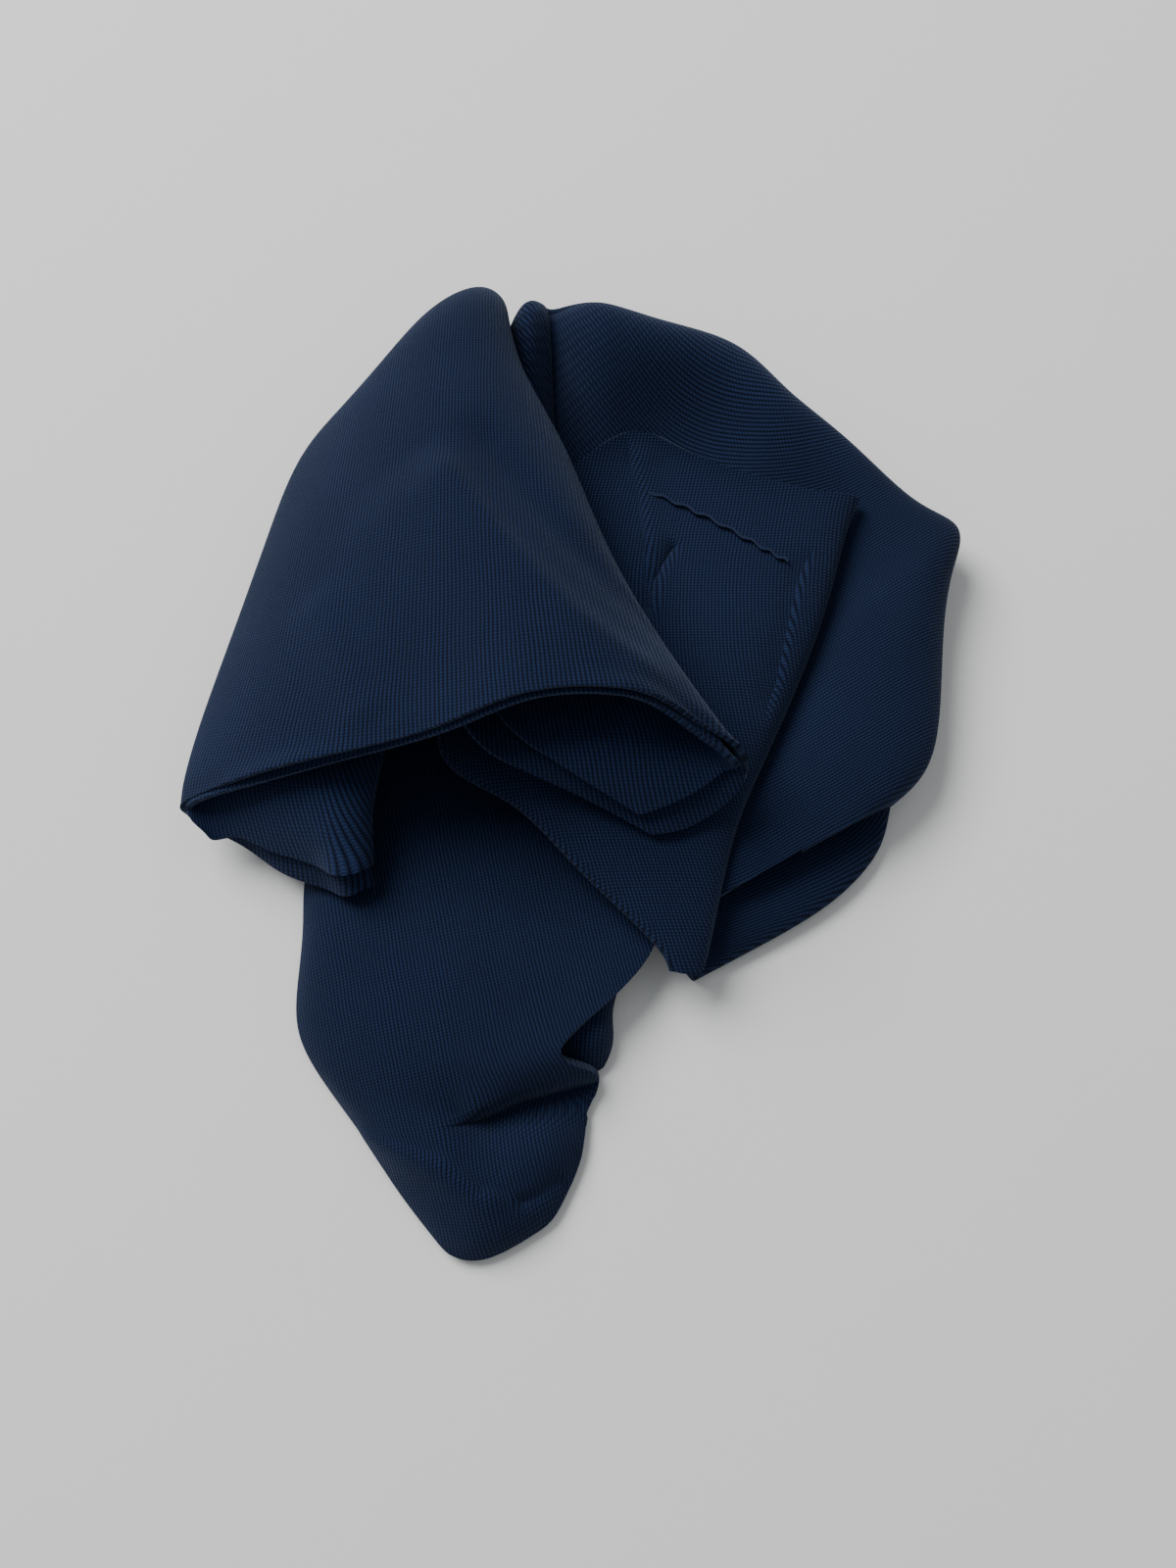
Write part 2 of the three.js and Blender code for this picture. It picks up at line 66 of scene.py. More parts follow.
SLEEVE_ROWS = [
  [[11.6, -14, 18.5], [21, -11.5, 19], [28.5, -5.5, 24], [26, -0.5, 31], [19, 3, 37], [8, 5.5, 42],
    [-10, 5.6, 43], [-26, 1.4, 37.6], [-46, -1.9, 29.6], [-65, -5, 22], [-77, -7, 13],
    [-74.4, -9.8, 8.4], [-68, -13.2, 5.8], [-59, -17.8, 5.6], [-50.8, -22.2, 8], [-45.6, -24.4, 11],
    [-42.4, -23.2, 11.4], [-41.4, -22.2, 9.4]],
  [[-7, -5.6, 24.4], [6, 0.4, 26.4], [18, 7.4, 26], [18, 10.5, 32.5], [12, 13.5, 38], [1, 17, 42],
    [-14, 17, 42], [-29, 13, 37], [-47, 10, 30], [-63.5, 8, 22], [-74.5, 6.5, 13], [-71, 2, 10.6],
    [-62, -3, 14.4], [-55, -5.6, 17], [-49, -7.2, 18.6], [-45.4, -8.4, 18.4], [-43, -8.2, 16.6],
    [-42.4, -7.8, 14]],
  [[-23, 5, 28], [-9, 17, 22.4], [4, 31.5, 23], [4.5, 33.5, 32], [0, 34.5, 37.5], [-9, 35, 40.8],
    [-22, 34, 40], [-36, 32, 35.5], [-49, 30, 29], [-61, 28.5, 21], [-69.5, 27, 11],
    [-66.4, 22, 8.6], [-58.4, 16, 10.4], [-52, 12.4, 12.4], [-47, 10, 13.4], [-43.2, 9.4, 13.4],
    [-41, 9.8, 12], [-40.6, 10.2, 10]],
  [[-30, 35, 19], [-17, 46, 19.5], [-5.5, 57, 23], [-5.5, 58.5, 29], [-9, 59, 33.5],
    [-16, 58.5, 37], [-26, 56, 37.5], [-37, 54, 34], [-47.5, 52, 28], [-57, 50, 20],
    [-63.5, 48.5, 10.5], [-61, 45, 4], [-53.6, 41, 3.4], [-48, 38, 5.4], [-44.5, 37, 7.8],
    [-42, 37, 8.6], [-40.6, 38, 7.8], [-40.4, 39, 6.4]],
  [[-33, 56, 12], [-25, 65, 14.5], [-14, 74, 20], [-12.8, 76, 25.5], [-15, 77, 29.5],
    [-20, 76.5, 33], [-28.5, 74.5, 33], [-37, 72, 30], [-45, 69.5, 25], [-52, 67.5, 18.4],
    [-57, 66, 10], [-54, 63.5, 3.4], [-48, 61, 2.2], [-43, 59, 3.8], [-40, 58, 5.8], [-38, 58, 6.8],
    [-36.8, 59, 6.8], [-36.6, 60, 6]],
  [[-31, 74, 8], [-25, 79, 11], [-17.2, 85, 16.5], [-15.8, 87.5, 22], [-17, 89.5, 25.4],
    [-20.8, 90.5, 28.2], [-27.5, 88.5, 28.4], [-34, 85, 26.2], [-40, 81, 22], [-44.6, 78, 16.4],
    [-47.6, 75.5, 9.5], [-45, 73.5, 3.4], [-41, 71.5, 1.8], [-38, 70.5, 2.6], [-36, 70, 4.4],
    [-35, 70, 6.2], [-34.6, 71, 7.4], [-34.6, 72.5, 7.8]],
  [[-28, 80.5, 8], [-24, 84, 10], [-18.8, 89.5, 13.5], [-17, 93.5, 16], [-17.8, 96.4, 18],
    [-21.2, 98, 19], [-26.5, 96.6, 19], [-32.6, 92.2, 18], [-38, 86.8, 15.5], [-42, 82.6, 12],
    [-44, 79.5, 7.6], [-42, 77.6, 3.2], [-38.6, 76, 1.8], [-36, 75, 2.2], [-33.8, 75, 3.6],
    [-32, 76, 5], [-30.6, 77.4, 6.2], [-29.4, 79, 7.2]],
  [[-27, 82.4, 6.6], [-24, 85, 7.8], [-19.8, 90.2, 8.6], [-18.2, 94, 8.8], [-18.8, 96.8, 9],
    [-21.8, 98.2, 9], [-26.4, 96.8, 9], [-32, 92.6, 8.6], [-36.8, 87.8, 7.8], [-40.2, 83.6, 6.4],
    [-42, 81, 4.6], [-40.2, 79.6, 2.4], [-37.6, 78.2, 1.6], [-35.4, 77.6, 2], [-33.4, 77.8, 3],
    [-31.8, 78.6, 4], [-30.2, 79.8, 5], [-28.6, 81.2, 5.9]],
]

BAND_ROWS = [
  [[-7.5, 56.5, 12.6], [-6, 58.5, 14.6], [7.2, 67.6, 17.4], [20, 64, 16.6], [36.5, 57.6, 16.6],
    [46, 55, 16.8], [52, 54.8, 15.8], [52.6, 54.6, 14]],
  [[-8.5, 48.5, 12], [-7, 50, 14], [6.2, 57.4, 14.6], [20.4, 55.4, 15], [35.4, 49.4, 15.8],
    [44.4, 46.6, 16.5], [48.6, 45.8, 15.5], [49.4, 45.6, 13.6]],
  [[-15, 28.5, 13.2], [-15, 30, 15.6], [0, 33, 16], [15, 32, 16.4], [28.5, 29.5, 17],
    [38, 27.5, 17.2], [42.6, 26.5, 15.6], [43.4, 26.2, 13]],
  [[-25, 5.2, 14.2], [-26.4, 4.8, 16.8], [-12, 4.5, 18.2], [3, 4.5, 18.5], [16.5, 4, 18.4],
    [27.5, 3, 17.6], [32.2, 2.4, 15.4], [33, 2.2, 12.8]],
  [[-13, -5.2, 13.2], [-14.4, -6.4, 15.6], [-5, -7, 17], [5, -7.4, 17.4], [15, -8, 17.2],
    [23, -8.8, 16.4], [27, -9.4, 14.4], [27.8, -9.6, 12]],
  [[0, -17.4, 12.6], [-1.4, -18.8, 14.4], [5, -19.6, 15.2], [11.5, -20, 15.4], [17.6, -20.4, 15],
    [22.2, -20.8, 14], [24.2, -21, 12.4], [24.6, -21, 10.6]],
  [[12.8, -31, 11], [12.2, -32, 12], [14.2, -32.8, 12.3], [16.4, -33.2, 12.3], [18.4, -33.5, 12.1],
    [20.2, -33.6, 11.6], [21.4, -33.6, 10.8], [21.8, -33.6, 9.8]],
  [[16.2, -37.4, 10], [16.2, -38.2, 10.3], [17, -38.5, 10.4], [17.9, -38.7, 10.4],
    [18.7, -38.8, 10.3], [19.4, -38.8, 10.1], [20, -38.7, 9.8], [20.4, -38.6, 9.5]],
]

# Each row of the back leaf: its hidden inner point, its rim, and the heights
# of nine points from the inner one over the rim and in again underneath.
BACK_SHARES = [0, 0.22, 0.45, 0.69, 0.9, 1, 0.96, 0.8, 0.6]
BACK_SPANS = [
  [[-18, 58], [-18, 89.4], [4, 4.2, 5.4, 7.6, 8.4, 6.6, 4, 1.8, 1.3]],
  [[-12, 50], [-12.4, 95.6], [5, 7, 11.4, 17.6, 20.5, 16, 8, 2.2, 1.3]],
  [[-6, 46], [-7.8, 95.8], [4.6, 6, 8.6, 13.6, 18.2, 14.4, 7.2, 2, 1.3]],
  [[4, 41], [0.4, 96], [4.8, 6.6, 9.2, 17.2, 21.2, 16, 7, 1.8, 1.3]],
  [[12, 36], [14, 92.6], [5.4, 6.8, 7.8, 12.6, 20, 15, 6.4, 1.6, 1.3]],
  [[19, 31], [29.4, 88.7], [6.2, 7.4, 8.2, 10.8, 16.4, 12.8, 5.6, 1.5, 1.3]],
  [[24, 26], [40.2, 79.2], [6.6, 7.9, 8.7, 10.4, 14.4, 11.6, 5.2, 1.5, 1.3]],
  [[28, 20.5], [52.4, 68.7], [7, 8.4, 8.8, 9.6, 12, 10.2, 5, 1.5, 1.3]],
  [[31, 15], [65.2, 56], [7.4, 9, 9.8, 10.8, 12, 9.6, 5.2, 3, 2.8]],
  [[32, 10.5], [73.4, 50.3], [7.8, 10, 11.8, 13, 12.4, 9.4, 5.4, 4, 3.8]],
  [[31.5, 6.5], [71.8, 41.7], [8, 10.6, 12.4, 13.6, 13, 9.4, 5.6, 4.1, 3.9]],
  [[29.5, 0], [69.2, 28.6], [8.2, 11, 12.8, 13.8, 13, 9.4, 5.8, 4.6, 4.4]],
  [[26, -9], [67.6, 13], [8.2, 11, 12.6, 13.2, 12.4, 9.4, 7, 6.8, 6.8]],
  [[21, -19.5], [64.4, 1.2], [7.8, 10.2, 11.6, 12.2, 11.6, 9.2, 7.4, 7.2, 7.2]],
  [[16.5, -29], [57.4, -6], [6.8, 9, 10.4, 11.2, 10.8, 9, 7.6, 7.4, 7.4]],
]


def spans_to_rows(spans, shares):
    """Rows of points from an inner point, a rim and the heights between"""
    rows = []
    for (ix, iy), (rx, ry), heights in spans:
        rows.append([[ix + (rx - ix) * s, iy + (ry - iy) * s, z] for s, z in zip(shares, heights)])
    return rows


BACK_ROWS = spans_to_rows(BACK_SPANS, BACK_SHARES)

UNDER_ROWS = [
  [[17, -25.5, 4.2], [27, -20.4, 4.2], [38, -14, 4.3], [46.6, -7.4, 4.4], [50, -2.6, 4.3],
    [52, 3, 4.2]],
  [[18.6, -34.6, 4.2], [29.6, -28.6, 4.3], [42, -20.6, 4.5], [51, -12, 4.6], [54.4, -5.4, 4.4],
    [56.4, 2, 4.2]],
  [[19.8, -38.4, 2.8], [31.6, -32.2, 2.8], [45.6, -24, 3], [55, -14.6, 3], [58, -6.6, 3],
    [60, 2, 3]],
  [[17.8, -36, 1.2], [29.2, -30, 1.1], [42, -22, 1.1], [51.4, -13.4, 1.1], [54.8, -6, 1.1],
    [57, 2, 1.1]],
  [[12, -24, 1.1], [26, -17, 1.1], [40, -10, 1.1], [49, -3.5, 1.1], [53, 1, 1.1], [55.4, 6, 1.1]],
  [[6, -8, 1.1], [23, 0, 1.1], [38, 7.5, 1.1], [48, 12, 1.1], [53, 14.5, 1.1], [57, 16.5, 1.1]],
  [[4, 6, 1.1], [21, 14, 1.1], [37, 21, 1.1], [48, 25, 1.1], [54, 27, 1.1], [60, 29, 1.1]],
  [[8, 18, 1.1], [23, 25, 1.1], [37, 30, 1.1], [47, 34, 1.1], [53, 36, 1.1], [59, 38, 1.1]],
]

TAIL_ROWS = [
  [[-22, 54, 1.6], [-24, 54, 1.6], [-27, 54, 1.6], [-30, 54, 1.6], [-32, 54, 1.6], [-34, 54, 1.4],
    [-36, 54, 1.2]],
  [[-4, 36, 3], [-12, 36, 3], [-20, 36, 3], [-27, 36, 3], [-33, 36, 2.8], [-37, 36, 2.2],
    [-39, 36, 1.3]],
  [[3, 8, 4.4], [-8, 8, 4.4], [-20, 8, 4.4], [-30, 8, 4.4], [-38, 8, 4], [-43, 8, 3],
    [-45.5, 8, 1.4]],
  [[10, -14, 6], [-5, -14, 6.3], [-19, -14, 6.4], [-32, -14, 6.2], [-43.5, -14, 5.4],
    [-50, -14, 3.6], [-53.5, -14, 1.4]],
  [[13.4, -30.5, 8], [-1, -30, 8.2], [-17, -29, 8.2], [-32, -29, 8.2], [-44.5, -29, 7.2],
    [-51.4, -29, 4.6], [-54.2, -29, 1.4]],
  [[4.4, -43.4, 8.8], [-7, -43, 9.6], [-20, -43, 9.8], [-33, -42.5, 9.4], [-44.5, -42, 7.8],
    [-51.6, -42, 4.8], [-54.8, -42, 1.4]],
  [[-5, -53.4, 10.2], [-14, -55.4, 10.5], [-24, -56, 9.8], [-34, -54.5, 9], [-43, -52.5, 7.2],
    [-50, -51, 4.4], [-53.6, -50.5, 1.4]],
  [[1.6, -56.8, 4.2], [-7, -60.2, 5.2], [-20, -64.4, 6.4], [-31, -63.5, 7.4], [-39.6, -61, 6.2],
    [-45.4, -59.5, 4], [-48.6, -58.5, 1.4]],
  [[-0.2, -64, 2.6], [-6, -66.5, 5.4], [-14.5, -69.6, 7.2], [-23.5, -71.4, 7.6],
    [-31.6, -70.6, 6.8], [-37.6, -69.4, 4.2], [-41, -68.4, 1.4]],
  [[-2, -72, 1.6], [-7, -74.2, 5], [-13.4, -77.4, 6.6], [-20, -79.4, 6.6], [-26.6, -78.8, 5.6],
    [-31.6, -78, 3.6], [-34.8, -77.4, 1.4]],
  [[-5.4, -80, 1.4], [-9.6, -81.8, 4], [-14.4, -84.2, 5], [-19, -85.8, 5], [-23.4, -85.6, 4.2],
    [-26.8, -85, 2.8], [-29, -84.6, 1.3]],
  [[-7.2, -83.4, 1.2], [-11.4, -85.8, 1.5], [-15, -87.8, 1.6], [-18.8, -89.4, 1.6],
    [-22, -89.8, 1.5], [-24.2, -89.4, 1.4], [-25.6, -88.8, 1.2]],
]

TAIL_SIDE_ROWS = [
  [[-14, -22, 3.4], [-7, -22, 3.4], [-1, -22, 3.2], [3.4, -22, 2.6], [5.4, -22, 1.3]],
  [[-14, -33, 5], [-6, -33, 5.2], [0.6, -33, 4.8], [5, -33, 3.6], [6.8, -33, 1.4]],
  [[-13, -43, 6.2], [-5.6, -43, 6.4], [-0.6, -43, 6], [2.6, -43.4, 4.4], [4, -43.6, 1.6]],
  [[-12, -50, 6.2], [-5.4, -50, 6.2], [-0.8, -50, 6.8], [2.4, -50, 5.6], [3.8, -50, 2.6]],
  [[-11, -55, 2.6], [-6, -55.8, 2.4], [-2.4, -56.2, 2], [0.4, -56, 1.5], [2.6, -55.2, 1.2]],
]

# ---- values a user would change -----------------------------------------


class KnitSettings(bpy.types.PropertyGroup):
    """Cloth, thread and colours of the band"""

    ply: bpy.props.FloatProperty(
        name="Ply", description="Thickness of one knitted ply", default=1.1 * MM, unit="LENGTH"
    )
    cloth: bpy.props.FloatProperty(
        name="Cloth",
        description="Thickness of two plies lying together",
        default=2.2 * MM,
        unit="LENGTH",
    )
    wale: bpy.props.FloatProperty(
        name="Wale pitch",
        description="Distance from one rib to the next",
        default=0.69 * MM,
        unit="LENGTH",
    )
    course: bpy.props.FloatProperty(
        name="Course pitch", description="Height of one stitch", default=0.58 * MM, unit="LENGTH"
    )
    face_colour: bpy.props.FloatVectorProperty(
        name="Rib colour",
        description="Colour of the raised ribs",
        subtype="COLOR",
        size=3,
        min=0,
        max=1,
        default=(0.0150, 0.0262, 0.072),
    )
    # Painted shade: the groove colour darkens the recesses between the ribs and stitches of the
    # same navy yarn
    painted_groove_shade: bpy.props.FloatVectorProperty(
        name="Groove colour",
        description="Colour between the ribs",
        subtype="COLOR",
        size=3,
        min=0,
        max=1,
        default=(0.0007, 0.0015, 0.0055),
    )
    thread_colour: bpy.props.FloatVectorProperty(
        name="Thread colour",
        description="Colour of the linking thread",
        subtype="COLOR",
        size=3,
        min=0,
        max=1,
        default=(0.0050, 0.0095, 0.026),
    )


class StageSettings(bpy.types.PropertyGroup):
    """Table, light and camera"""

    table_colour: bpy.props.FloatVectorProperty(
        name="Table colour",
        description="Colour of the pale table",
        subtype="COLOR",
        size=3,
        min=0,
        max=1,
        default=(0.86, 0.86, 0.845),
    )
    tilt: bpy.props.FloatProperty(
        name="Camera tilt",
        description="Angle of the camera from straight down",
        default=math.radians(14),
        subtype="ANGLE",
    )
    distance: bpy.props.FloatProperty(
        name="Camera distance",
        description="From the camera to the table",
        default=0.3,
        unit="LENGTH",
    )
    lens: bpy.props.FloatProperty(
        name="Lens",
        description="Focal length on a 36 mm sensor",
        default=34.58,
        subtype="DISTANCE_CAMERA",
    )


# ---- shader building ----------------------------------------------------


class Value:
    """A socket whose sums add Math nodes to the tree"""

    def __init__(self, shader, socket):
        self.shader = shader
        self.socket = socket

    def _math(self, operation, first, second=0.0, third=0.0):
        node = self.shader.node(
            "ShaderNodeMath", {"operation": operation}, {0: first, 1: second, 2: third}
        )
        return node.out(0)

    def __add__(self, other):
        return self._math("ADD", self, other)

    __radd__ = __add__

    def __sub__(self, other):
        return self._math("SUBTRACT", self, other)

    def __rsub__(self, other):
        return self._math("SUBTRACT", other, self)

    def __mul__(self, other):
        return self._math("MULTIPLY", self, other)

    __rmul__ = __mul__

    def __pow__(self, other):
        return self._math("POWER", self, other)

    def __lt__(self, other):
        return self._math("LESS_THAN", self, other)

    def __gt__(self, other):
        return self._math("GREATER_THAN", self, other)

    def __abs__(self):
        return self._math("ABSOLUTE", self)

    def fraction(self):
        return self._math("FRACT", self)

    def sine(self):
        return self._math("SINE", self)

    def clamped(self):
        return self._math("MINIMUM", self._math("MAXIMUM", self, 0.0), 1.0)


class Made:
    """A node that has been added, with its outputs by number or name"""

    def __init__(self, shader, node):
        self.shader = shader
        self.node = node

    def out(self, name):
        return Value(self.shader, self.node.outputs[name])


class Shader:
    """A material's node tree"""

    def __init__(self, name):
        self.material = bpy.data.materials.new(name)
        self.material.use_nodes = True
        self.tree = self.material.node_tree
        self.tree.nodes.clear()
        self.output = self.node("ShaderNodeOutputMaterial", {}, {})

    def node(self, kind, settings, inputs):
        node = self.tree.nodes.new(kind)
        for key, value in settings.items():
            setattr(node, key, value)
        for key, value in inputs.items():
            if isinstance(value, Value):
                self.tree.links.new(value.socket, node.inputs[key])
            elif isinstance(key, str) or len(node.inputs) > key:
                node.inputs[key].default_value = value
        return Made(self, node)

    def mix(self, factor, first, second, blend="MIX"):
        settings = {"data_type": "RGBA", "blend_type": blend}
        return self.node("ShaderNodeMix", settings, {0: factor, 6: first, 7: second}).out(2)

    def finish(self, surface):
        """Join the surface to the output and hand over the material"""
        self.tree.links.new(surface.socket, self.output.node.inputs["Surface"])
        return self.material


def solid(colour):
    """A colour with full alpha"""
    return (*colour, 1.0)


def knit_material(name, settings, light=1.0, courses=0.3, depth=1.0):
    """A fine rib knit: ribs along the leaf's own wales, with their stitches, painted shade in the
    grooves between them, and a painted brightness, light
    """
    shader = Shader(name)
    spot = shader.node("ShaderNodeUVMap", {"uv_map": "Knit"}, {}).out(0)
    parts = shader.node("ShaderNodeSeparateXYZ", {}, {0: spot})
    objectwise = shader.node("ShaderNodeTexCoord", {}, {}).out("Object")
    sway = shader.node(
        "ShaderNodeTexNoise", {}, {"Vector": spot, "Scale": 0.55, "Detail": 2.0}
    ).out(0)
    across = parts.out(0) * (UV_UNIT / settings.wale) + sway * 1.6
    along = parts.out(1) * (UV_UNIT / settings.course)
    from_rib = abs(across.fraction() - 0.5) * 2.0
    rib = 1.0 - from_rib**1.7
    stitch = (along * (2 * math.pi) + from_rib * 2.4).sine() * 0.5 + 0.5
    # yarn is the mask of the painted groove shade: near 0 between ribs and stitches, 1 on their
    # crowns
    yarn = rib * (1.0 - courses) + rib * stitch * courses

    cloudy = shader.node(
        "ShaderNodeTexNoise",
        {},
        {"Vector": objectwise, "Scale": 38.0, "Detail": 3.0, "Roughness": 0.55},
    ).out(0)
    fibres = shader.node(
        "ShaderNodeTexNoise", {}, {"Vector": spot, "Scale": 16.0, "Detail": 2.0, "Roughness": 0.7}
    ).out(0)
    # Both colours are scaled by light, the painted brightness of this copy of the knit
    face = shader.mix(
        yarn.clamped(),
        solid([c * light for c in settings.painted_groove_shade]),
        solid([c * light for c in settings.face_colour]),
    )
    shade = cloudy * 0.5 + fibres * 0.42 + 0.54
    grey = shader.node("ShaderNodeCombineColor", {}, {0: shade, 1: shade, 2: shade}).out(0)
    worn = shader.mix(1.0, face, grey, "MULTIPLY")
    cells = shader.node(
        "ShaderNodeTexVoronoi",
        {"feature": "F1"},
        {"Vector": spot, "Scale": 0.75, "Randomness": 1.0},
    )
    chosen = shader.node("ShaderNodeSeparateColor", {}, {0: cells.out("Color")}).out(0) > 0.9
    lint = (cells.out("Distance") < 0.02) * chosen
    coloured = shader.mix(lint * 0.8, worn, (0.42, 0.43, 0.44, 1.0))

    height = yarn * 0.8 + fibres * 0.5
    normal = shader.node(
        "ShaderNodeBump", {}, {"Strength": 0.9 * depth, "Distance": 0.16 * MM, "Height": height}
    ).out(0)
    surface = shader.node(
        "ShaderNodeBsdfPrincipled",
        {},
        {
            "Base Color": coloured,
            "Roughness": 0.92,
            "Specular IOR Level": 0.08,
            "Sheen Weight": 0.12,
            "Sheen Roughness": 0.45,
            "Sheen Tint": (0.55, 0.68, 0.95, 1.0),
            "Normal": normal,
        },
    ).out(0)
    return shader.finish(surface)


def thread_material(settings):
    """A dark plied thread"""
    shader = Shader("linking_thread_dark")
    objectwise = shader.node("ShaderNodeTexCoord", {}, {}).out("Object")
    twist = shader.node(
        "ShaderNodeTexWave",
        {"bands_direction": "DIAGONAL"},
        {"Vector": objectwise, "Scale": 900.0, "Distortion": 0.6},
    ).out(0)
    lighter = solid([c * 2.2 for c in settings.thread_colour])
    colour = shader.mix(twist, solid(settings.thread_colour), lighter)
    normal = shader.node(
        "ShaderNodeBump", {}, {"Strength": 0.5, "Distance": 0.1 * MM, "Height": twist}
    ).out(0)
    surface = shader.node(
        "ShaderNodeBsdfPrincipled",
        {},
        {"Base Color": colour, "Roughness": 0.85, "Specular IOR Level": 0.2, "Normal": normal},
    ).out(0)
    return shader.finish(surface)


def table_material(settings):
    """A matt pale sheet"""
    shader = Shader("pale_table")
    objectwise = shader.node("ShaderNodeTexCoord", {}, {}).out("Object")
    grain = shader.node(
        "ShaderNodeTexNoise", {}, {"Vector": objectwise, "Scale": 60.0, "Detail": 4.0}
    ).out(0)
    darker = solid([c * 0.985 for c in settings.table_colour])
    colour = shader.mix(grain, solid(settings.table_colour), darker)
    surface = shader.node(
        "ShaderNodeBsdfPrincipled",
        {},
        {"Base Color": colour, "Roughness": 0.8, "Specular IOR Level": 0.2},
    ).out(0)
    return shader.finish(surface)


# ---- cloth surfaces -----------------------------------------------------

UV_UNIT = 10 * MM  # one unit of the knit's UV map on the cloth
STEP_REACH = 14  # how far from its edge a step has died out, mm
EDGE_ROUNDING = 0.42  # bevel of a cloth edge, as a share of its thickness
MIDDLE_REACH = 4  # columns on each side that give a row's direction at its middle
RIM_REACH = 8  # columns before the rim that give a row's direction there


def spline_weights(count, steps, low=0.0, high=1.0):
    """Weights that carry count points to steps + 1 places on a smooth curve"""
    places = np.linspace(low, high, steps + 1) * (count - 1)
    bend = np.zeros((count, count))
    if count > 2:
        inner = np.arange(1, count - 1)
        system = np.eye(count)
        system[inner, inner] = 4.0
        system[inner, inner - 1] = 1.0
        system[inner, inner + 1] = 1.0
        change = np.zeros((count, count))
        change[inner, inner - 1] = 6.0
        change[inner, inner] = -12.0
        change[inner, inner + 1] = 6.0
        bend = np.linalg.solve(system, change)
    first = np.clip(np.floor(places).astype(int), 0, count - 2)
    f = (places - first)[:, None]
    unit = np.eye(count)
    straight = (1 - f) * unit[first] + f * unit[first + 1]
    curved = ((1 - f) ** 3 - (1 - f)) * bend[first] + (f**3 - f) * bend[first + 1]
    return straight + curved / 6


def smoothstep(low, high, x):
    """0 below low, 1 above high, and a smooth rise between them"""
    t = np.clip((x - low) / (high - low), 0, 1)
    return t * t * (3 - 2 * t)


def line_distance(x, y, points):
    """Signed distance to a bent line, and the share of its length nearest by"""
    best = np.full(x.shape, 1e9)
    side = np.zeros(x.shape)
    share = np.zeros(x.shape)
    lengths = [math.dist(a, b) for a, b in zip(points, points[1:])]
    gone = 0.0
    for (ax, ay), (bx, by), length in zip(points, points[1:], lengths):
        dx, dy = (bx - ax) / length, (by - ay) / length
        t = np.clip((x - ax) * dx + (y - ay) * dy, 0, length)
        away = np.hypot(x - ax - t * dx, y - ay - t * dy)
        near = away < best
        best = np.where(near, away, best)
        side = np.where(near, np.sign((x - ax) * dy - (y - ay) * dx), side)
        share = np.where(near, (gone + t) / sum(lengths), share)
        gone += length
    return best * side, share


def ridge(points, height, left, right, fade=0.15):
    """A crest or valley along a line, with its own fall-off on either side"""

    def offset(x, y):
        away, share = line_distance(x, y, points)
        width = np.where(away > 0, right, left)
        ends = smoothstep(0, fade, share) * smoothstep(0, fade, 1 - share)
        return height * np.exp(-((away / width) ** 2)) * ends

    return offset


def step(points, height, width, fade=0.12):
    """A layer's edge: the cloth to the right of the line stands lower"""

    def offset(x, y):
        away, share = line_distance(x, y, points)
        ends = smoothstep(0, fade, share) * smoothstep(0, fade, 1 - share)
        fall = smoothstep(0, width, away) * (1 - smoothstep(width, STEP_REACH, away))
        return -height * fall * ends

    return offset


